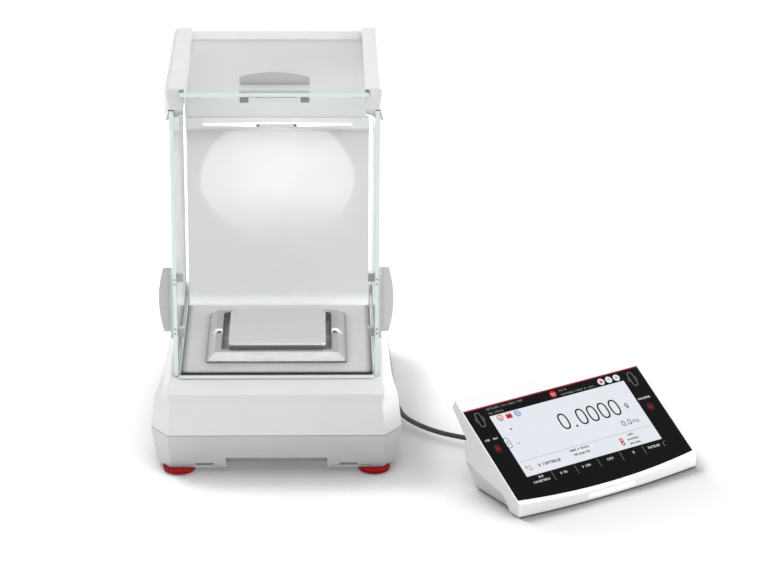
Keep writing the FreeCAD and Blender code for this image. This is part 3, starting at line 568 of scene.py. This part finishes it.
def handle_pins():
    """Domed dark pins that close the door handles' clamps, seen on the front edge of each door's glass."""
    dome = ((0.95 * MM, -0.2 * MM), (0.95 * MM, 0.1 * MM), (0.7 * MM, 0.3 * MM), (0.3 * MM, 0.38 * MM))
    outer, inner = 5 * MM, 9.4 * MM
    for side in ("left", "right"):
        pane_low, pane_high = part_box(side + "_door_glass")
        low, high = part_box(side + "_door_handle")
        middle = (pane_low.x + pane_high.x) / 2
        bm = bmesh.new()
        for height in (low.z + outer, low.z + inner, high.z - inner, high.z - outer):
            rings = []
            for radius, out in dome:
                circle = oval(middle, height, 2 * radius, 2 * radius, count=16)
                rings.append([bm.verts.new((x, pane_low.y - out, z)) for x, z in circle])
            closed_tube(bm, rings)
        pins = finished(bm, side + "_handle_pins", "screw_steel")
        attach(pins, side + "_door")


front_seal()
housing_seam()
handle_pins()


# Screen, in millimetres on the terminal's glass: x from its left edge, y up from its lower corners

LCD_LEFT, LCD_RIGHT, LCD_LOW, LCD_HIGH = 23.0, 177.4, 20.7, 90.4
LCD_X, LCD_Y = (LCD_LEFT + LCD_RIGHT) / 2, (LCD_LOW + LCD_HIGH) / 2
LCD_WIDE, LCD_TALL = LCD_RIGHT - LCD_LEFT, LCD_HIGH - LCD_LOW
GLASS_WIDE, GLASS_HIGH = 200.0, 102.0
LAYER, OVERLAP = 0.03, 0.01
DIGIT_WIDE, DIGIT_HIGH, DIGIT_PEN = 8.6, 16.4, 1.65
DIGIT_Y, FIRST_ZERO, SECOND_ZERO, DIGIT_STEP = 65.4, 92.2, 112.6, 12.7
SMALL_ZEROS, SMALL_Y = (149.4, 156.4), 46.8
SIGN_Y, SIGN_SIZE = 86.2, 6.0
TARGET_X, WEIGHT_X, GLOBE_X = 32.6, 42.3, 52.0
BATTERY_X = 136.2
TAB_Y = 59.2
HEADER_Y, HEADER_SIGN_X, BUTTON_Y, BUTTON_SIZE = 95.8, 98.5, 95.4, 7.2
LOCK_X, WAVE_X, DISC_X = 154.0, 163.0, 172.0
KEY_Y, FIRST_KEY_LINE, KEY_STEP = 14.6, 49.0, 25.9
SENSOR_X = {"left": 12.4, "right": 187.5}
SENSOR_SIGN_Y, SENSOR_WORDS_Y, SENSOR_GLOW_Y = 89.7, 67.0, 56.4

# Rows of small characters: left end, middle height, length, height of a character
READOUT_WORDS = (
    (33.5, 56.2, 6.0, 1.6),
    (27.5, 30.4, 7.0, 2.6),
    (41.2, 28.9, 27.0, 3.0),
    (79.6, 34.0, 23.0, 2.3),
    (79.6, 28.9, 21.0, 2.3),
    (143.0, 34.0, 10.5, 2.2),
    (143.0, 29.0, 14.0, 2.2),
    (143.0, 24.4, 13.5, 2.2),
)
HEADER_WORDS = (
    (24.2, 98.2, 42.0, 2.2),
    (24.2, 93.4, 17.5, 2.2),
    (106.4, 97.8, 10.0, 2.0),
    (106.4, 93.2, 40.5, 2.0),
)
FIRST_KEY_WORDS = (
    (30.6, 17.6, 10.5, 2.3),
    (26.4, 13.2, 18.5, 2.3),
)
OTHER_KEY_LENGTHS = (9.4, 11.6, 10.0, 7.0, 15.0)


def face_place():
    """From the screen's millimetres (across the glass, up its slope, out of it) to the scene."""
    across = Vector((math.cos(TERMINAL_TURN), math.sin(TERMINAL_TURN), 0))
    behind = Vector((-math.sin(TERMINAL_TURN), math.cos(TERMINAL_TURN), 0))
    slope = behind * math.cos(SLOPE) + Vector((0, 0, math.sin(SLOPE)))
    out = across.cross(slope)
    turn = Matrix((across, slope, out)).transposed().to_4x4()
    return Matrix.Translation(TERMINAL_AT + Vector((0, 0, FACE_START_Z))) @ turn @ Matrix.Scale(MM, 4)


FACE = face_place()


def print_on_glass(name, kind, shapes, layer=1):
    """Closed outlines on the glass, raised by a few hundredths of a millimetre."""
    heights = (LAYER * (layer - 1), LAYER * layer + OVERLAP)
    bm = bmesh.new()
    for outline in shapes:
        rings = []
        for z in heights:
            rings.append([bm.verts.new(FACE @ Vector((x, y, z))) for x, y in outline])
        closed_tube(bm, rings)
    obj = finished(bm, name, kind)
    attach(obj, "root")


def words(x, y, length, high):
    """A row of made-up characters, too plain to be any script: a stem, a bar and often a second stem."""
    pen, step = high * 0.22, high * 0.78
    blank_share, second_stem_share = 0.09, 0.6
    marks = []
    for k in range(int(length / step)):
        left = x + k * step
        if random.random() < blank_share:
            continue
        marks.append(rectangle(left, y, pen, high))
        level = random.choice((-0.4, 0.0, 0.4))
        marks.append(rectangle(left + step * 0.3, y + level * high, step * 0.45, pen))
        if random.random() < second_stem_share:
            marks.append(rectangle(left + step * 0.55, y, pen, high * random.choice((0.6, 1.0))))
    return marks


def word_rows(rows):
    marks = []
    for row in rows:
        marks += words(*row)
    return marks


def small_g(x, y, size, pen):
    bowl = stroke(oval(x, y, size * 0.8, size, 2.2, 20), pen, True)
    stem = [(x + size * 0.4, y + size / 2), (x + size * 0.4, y - size * 0.6)]
    hook = arc(x, y - size * 0.6, size * 0.4, 0, -150)
    return bowl + stroke(stem + hook[1:], pen)


def small_m(pen):
    """The first letter of the milligrams: two arches on three legs."""
    marks = []
    for x in (160.6, 162.3):
        marks += stroke(arc(x, 46.6, 0.8, 0, 180), pen)
    return marks + [rectangle(x, 45.7, pen, 2.0) for x in (159.8, 161.4, 163.1)]


def screen_field():
    print_on_glass("lcd_field", "screen_white", [rectangle(LCD_X, LCD_Y, LCD_WIDE, LCD_TALL)])
    top_line = rectangle(GLASS_WIDE / 2, GLASS_HIGH - 0.55, GLASS_WIDE - 0.8, 0.9)
    print_on_glass("glass_top_line", "edge_red", [top_line])


def screen_reading():
    """The read-out in grams, the same in milligrams, the unit letters and the dot of a steady reading."""
    marks = []
    for x in [FIRST_ZERO] + [SECOND_ZERO + DIGIT_STEP * k for k in range(4)]:
        marks += stroke(oval(x, DIGIT_Y, DIGIT_WIDE, DIGIT_HIGH, 2.5), DIGIT_PEN, True)
    marks.append(oval((FIRST_ZERO + SECOND_ZERO) / 2, DIGIT_Y - DIGIT_HIGH / 2, 2.3, 2.3, 3.0, 16))
    for x in SMALL_ZEROS:
        marks += stroke(oval(x, SMALL_Y, 3.2, 5.2, 2.4, 24), 0.75, True)
    marks.append(oval(sum(SMALL_ZEROS) / 2, SMALL_Y - 2.3, 1.0, 1.0, 2.0, 10))
    marks += small_g(163.6, 64.6, 3.4, 0.8)
    marks += small_m(0.45) + small_g(165.2, 46.2, 2.2, 0.45)
    marks.append(oval(36.3, 72.1, 1.9, 1.9, 2.0, 16))
    print_on_glass("reading", "screen_ink", marks, 2)


def red_signs():
    """A target, a small weight with two knobs, a smile and a battery."""
    target = stroke(oval(TARGET_X, SIGN_Y, SIGN_SIZE, SIGN_SIZE), 0.8, True)
    target += [rectangle(TARGET_X, SIGN_Y, 3.0, 1.0), rectangle(TARGET_X, 84.6, 1.0, 1.8)]
    weight = [rectangle(WEIGHT_X, 85.6, 6.4, 4.6)]
    weight += [rectangle(x, 88.8, 1.0, 1.4) for x in (WEIGHT_X - 1.7, WEIGHT_X + 1.7)]
    smile = stroke(arc(31.6, 28.6, 1.8, 200, 340), 0.7)
    battery = [pill(BATTERY_X, 28.6, 3.6, 8.6)]
    print_on_glass("red_signs", "screen_red", target + weight + smile + battery, 2)


def screen_states():
    """Status signs in the read-out's corner, the level tab and the strip of facts under a thin line."""
    red_signs()
    globe = stroke(oval(GLOBE_X, SIGN_Y, SIGN_SIZE, SIGN_SIZE), 0.7, True)
    globe += stroke(oval(GLOBE_X, SIGN_Y, 2.6, SIGN_SIZE), 0.6, True)
    globe.append(rectangle(GLOBE_X, SIGN_Y, SIGN_SIZE, 0.7))
    print_on_glass("blue_sign", "screen_blue", globe, 2)
    tab = stroke(pill(25.0, TAB_Y, 5.2, 11.5), 0.6, True)
    tab += stroke([(26.0, TAB_Y + 2.2), (24.2, TAB_Y), (26.0, TAB_Y - 2.2)], 0.6)
    print_on_glass("small_words", "screen_ink", tab + word_rows(READOUT_WORDS), 2)
    print_on_glass("strip_line", "screen_line", [rectangle(LCD_X, 37.2, LCD_WIDE - 4, 0.45)], 2)
    print_on_glass("tab_field", "screen_white", [pill(24.6, TAB_Y, 4.4, 10.6)])
    cells = [rectangle(BATTERY_X, 30.4, 1.3, 2.4), rectangle(BATTERY_X, 26.6, 1.3, 2.0)]
    print_on_glass("battery_gap", "screen_white", cells, 3)


def screen_header():
    """The row above the read-out: two blocks of small characters, a red sign and three white buttons."""
    print_on_glass("header_words", "screen_mid", word_rows(HEADER_WORDS))
    print_on_glass("header_sign", "screen_red", [oval(HEADER_SIGN_X, HEADER_Y, 7.4, 7.4)])
    bars = [rectangle(HEADER_SIGN_X + side * 1.1, HEADER_Y, 0.9, 3.2) for side in (-1, 1)]
    print_on_glass("header_sign_mark", "screen_pale", bars, 2)
    buttons = [oval(x, BUTTON_Y, BUTTON_SIZE, BUTTON_SIZE) for x in (LOCK_X, WAVE_X, DISC_X)]
    print_on_glass("buttons", "screen_white", buttons)
    lock = [rectangle(LOCK_X, 94.9, 2.8, 2.4)] + stroke(arc(LOCK_X, 96.1, 1.1, 0, 180), 0.6)
    print_on_glass("button_lock", "screen_red", lock, 2)
    waves = stroke(arc(WAVE_X, 94.2, 2.4, 40, 140), 0.5) + stroke(arc(WAVE_X, 94.2, 1.2, 40, 140), 0.5)
    disc = stroke([(DISC_X - 1.2, BUTTON_Y), (DISC_X + 1.2, BUTTON_Y)], 0.5)
    disc += stroke(oval(DISC_X, BUTTON_Y, 2.6, 2.6), 0.4, True)
    print_on_glass("button_marks", "screen_mid", waves + disc, 2)


def screen_keys():
    """Six soft keys under the read-out, with thin lines between them."""
    marks = word_rows(FIRST_KEY_WORDS)
    for k, length in enumerate(OTHER_KEY_LENGTHS):
        centre = FIRST_KEY_LINE + KEY_STEP * (k + 0.5)
        marks += words(centre - length / 2, KEY_Y + 0.7, length, 2.5)
    print_on_glass("key_words", "screen_pale", marks)
    lines = [rectangle(FIRST_KEY_LINE + KEY_STEP * k, KEY_Y, 0.45, 9.6) for k in range(5)]
    lines += stroke(arc(178.0, 14.8, 2.6, 70, 250), 0.5)
    print_on_glass("key_lines", "screen_mid", lines)


def screen_sensors():
    """The touchless sensors' signs at the two sides, and their red glow through the glass."""
    glows = ((8.6, "glow_faint"), (6.0, "glow_dim"), (3.4, "glow_red"))
    for side, x in SENSOR_X.items():
        marks = stroke(pill(x, SENSOR_SIGN_Y, 5.2, 15.6), 0.7, True)
        for way in (0, 180):
            marks += stroke(arc(x, SENSOR_SIGN_Y, 4.6, way - 30, way + 30, 6), 0.6)
        print_on_glass(side + "_sensor_sign", "screen_mid", marks)
        print_on_glass(side + "_sensor_words", "screen_pale", words(x - 7.4, SENSOR_WORDS_Y, 14.6, 2.2))
        for layer, (size, kind) in enumerate(glows, 1):
            spot = oval(x - 0.2, SENSOR_GLOW_Y, size, size * 1.15, 2.0, 32)
            print_on_glass(f"{side}_glow_{layer}", kind, [spot], layer)


screen_field()
screen_reading()
screen_states()
screen_header()
screen_keys()
screen_sensors()


# Studio

WORLD, WORLD_FRONT = 0.81, 0.41
WORLD_COLOR = (0.985, 0.985, 1.0, 1.0)
FLOOR_HALF = 14.0
AIM = (0.0, 0.0, 0.12)
REAR, LEFT, RIGHT, TOP = 9.0, 6.0, 66.0, 22.0
HIGH_FLOOR, LOW_FLOOR = 54.0, 116.0
BASE = ("lower_housing", "upper_housing", "left_foot_wheel", "right_foot_wheel", "rear_feet")
TERMINAL = ("terminal_front_housing", "terminal_lower_housing")


def fade_along_y(tree, output, low, high):
    """A ramp over the Y part of a direction, from its low end to its high end."""
    place = tree.nodes.new("ShaderNodeTexCoord")
    split = tree.nodes.new("ShaderNodeSeparateXYZ")
    fade = tree.nodes.new("ShaderNodeMapRange")
    fade.inputs["From Min"].default_value = low
    fade.inputs["From Max"].default_value = high
    tree.links.new(place.outputs[output], split.inputs["Vector"])
    tree.links.new(split.outputs["Y"], fade.inputs["Value"])
    return fade


def studio_world():
    """Soft light from all round, weaker from the camera's side."""
    world = bpy.data.worlds.new("studio")
    world.use_nodes = True
    tree = world.node_tree
    sky = tree.nodes["Background"]
    sky.inputs["Color"].default_value = WORLD_COLOR
    fade = fade_along_y(tree, "Generated", -1.0, -0.1)
    fade.inputs["To Min"].default_value = WORLD_FRONT
    fade.inputs["To Max"].default_value = WORLD
    tree.links.new(fade.outputs["Result"], sky.inputs["Strength"])
    bpy.context.scene.world = world
    bpy.context.scene.view_settings.view_transform = "Standard"


def floor_paper():
    """Pale paper with a soft shade close to whatever stands on it."""
    look = Look("floor_sheet")
    tone = look.clouded(look.noise(6.0), (0.66, 0.66, 0.66), (0.65, 0.65, 0.65))
    painted_shade = look.painted_shade(reach=0.15, darkest=0.42, low=0.45, high=0.95)
    look.drive("Base Color", look.shaded(tone, painted_shade))
    look.drive("Roughness", look.span(look.noise(20.0), 0.75, 0.85))
    look.bump(look.noise(200.0), 0.01 * MM, 0.3)
    look.set(Specular_IOR_Level=0.15)
    return look.mat


def studio_floor():
    mesh = bpy.data.meshes.new("floor")
    corners = [(x, y, 0.0) for x, y in rectangle(0.0, 0.0, 2 * FLOOR_HALF, 2 * FLOOR_HALF)]
    mesh.from_pydata(corners, [], [(0, 1, 2, 3)])
    mesh.materials.append(floor_paper())
    floor = link(bpy.data.objects.new("floor", mesh))
    return floor


def area_light(name, place, size, power):
    data = bpy.data.lights.new(name, "AREA")
    data.shape = "RECTANGLE"
    data.size, data.size_y = size
    data.energy = power
    lamp = link(bpy.data.objects.new(name, data))
    lamp.location = place
    lamp.rotation_mode = "QUATERNION"
    lamp.rotation_quaternion = (Vector(AIM) - Vector(place)).to_track_quat("-Z", "Y")
    return lamp


def linked(name, objects, state):
    """A collection that tells a lamp which objects it lights, or which ones stop it."""
    group = bpy.data.collections.new(name)
    for obj in objects:
        group.objects.link(obj)
    for member in group.collection_objects:
        member.light_linking.link_state = state
    return group


def studio_lamps(floor):
    """Four lamps for the object, of which only the rear one lights the floor, and two for the floor alone."""
    area_light("rear_box", (0.0, 2.4, 2.4), (2.6, 1.4), REAR)
    for name, place, size, power in (
        ("left_box", (-2.6, -0.1, 0.75), (1.6, 1.2), LEFT),
        ("right_box", (2.6, -0.1, 0.75), (1.6, 1.2), RIGHT),
        ("top_box", (0.1, -1.3, 2.7), (2.0, 1.2), TOP),
    ):
        lamp = area_light(name, place, size, power)
        lamp.light_linking.receiver_collection = linked(name + "_lit", [floor], "EXCLUDE")
    for name, place, size, power, standing in (
        ("high_floor_box", (-1.27, 1.07, 2.13), (0.9, 0.9), HIGH_FLOOR, BASE + TERMINAL),
        ("low_floor_box", (-1.35, 2.1, 1.27), (1.6, 1.4), LOW_FLOOR, TERMINAL),
    ):
        lamp = area_light(name, place, size, power)
        lamp.light_linking.receiver_collection = linked(name + "_lit", [floor], "INCLUDE")
        stops = [NODES[node] for node in standing]
        lamp.light_linking.blocker_collection = linked(name + "_stopped", stops, "INCLUDE")


def chamber_light():
    """The lamp of the draft shield's light bar, which throws a pool of light on the back wall."""
    low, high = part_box("light_module")
    wall_thick = 3 * MM
    wall_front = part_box("chamber_back_wall")[1].y - wall_thick
    out, drop, radius = 0.140, 0.057, 0.062
    data = bpy.data.lights.new("chamber_lamp", "SPOT")
    data.energy = 0.23
    data.spot_size = 2 * math.atan(radius / out)
    data.spot_blend = 0.02
    data.shadow_soft_size = 0.001
    data.use_nodes = True
    fade = fade_along_y(data.node_tree, "Normal", -0.44, -0.08)
    emission = data.node_tree.nodes["Emission"]
    data.node_tree.links.new(fade.outputs["Result"], emission.inputs["Strength"])
    lamp = link(bpy.data.objects.new("chamber_lamp", data))
    lamp.location = ((low.x + high.x) / 2, wall_front - out, low.z - drop)
    lamp.rotation_euler = (math.radians(90), 0, 0)
    lamp.scale = (1.2, 1.0, 1.0)


studio_world()
studio_lamps(studio_floor())
chamber_light()
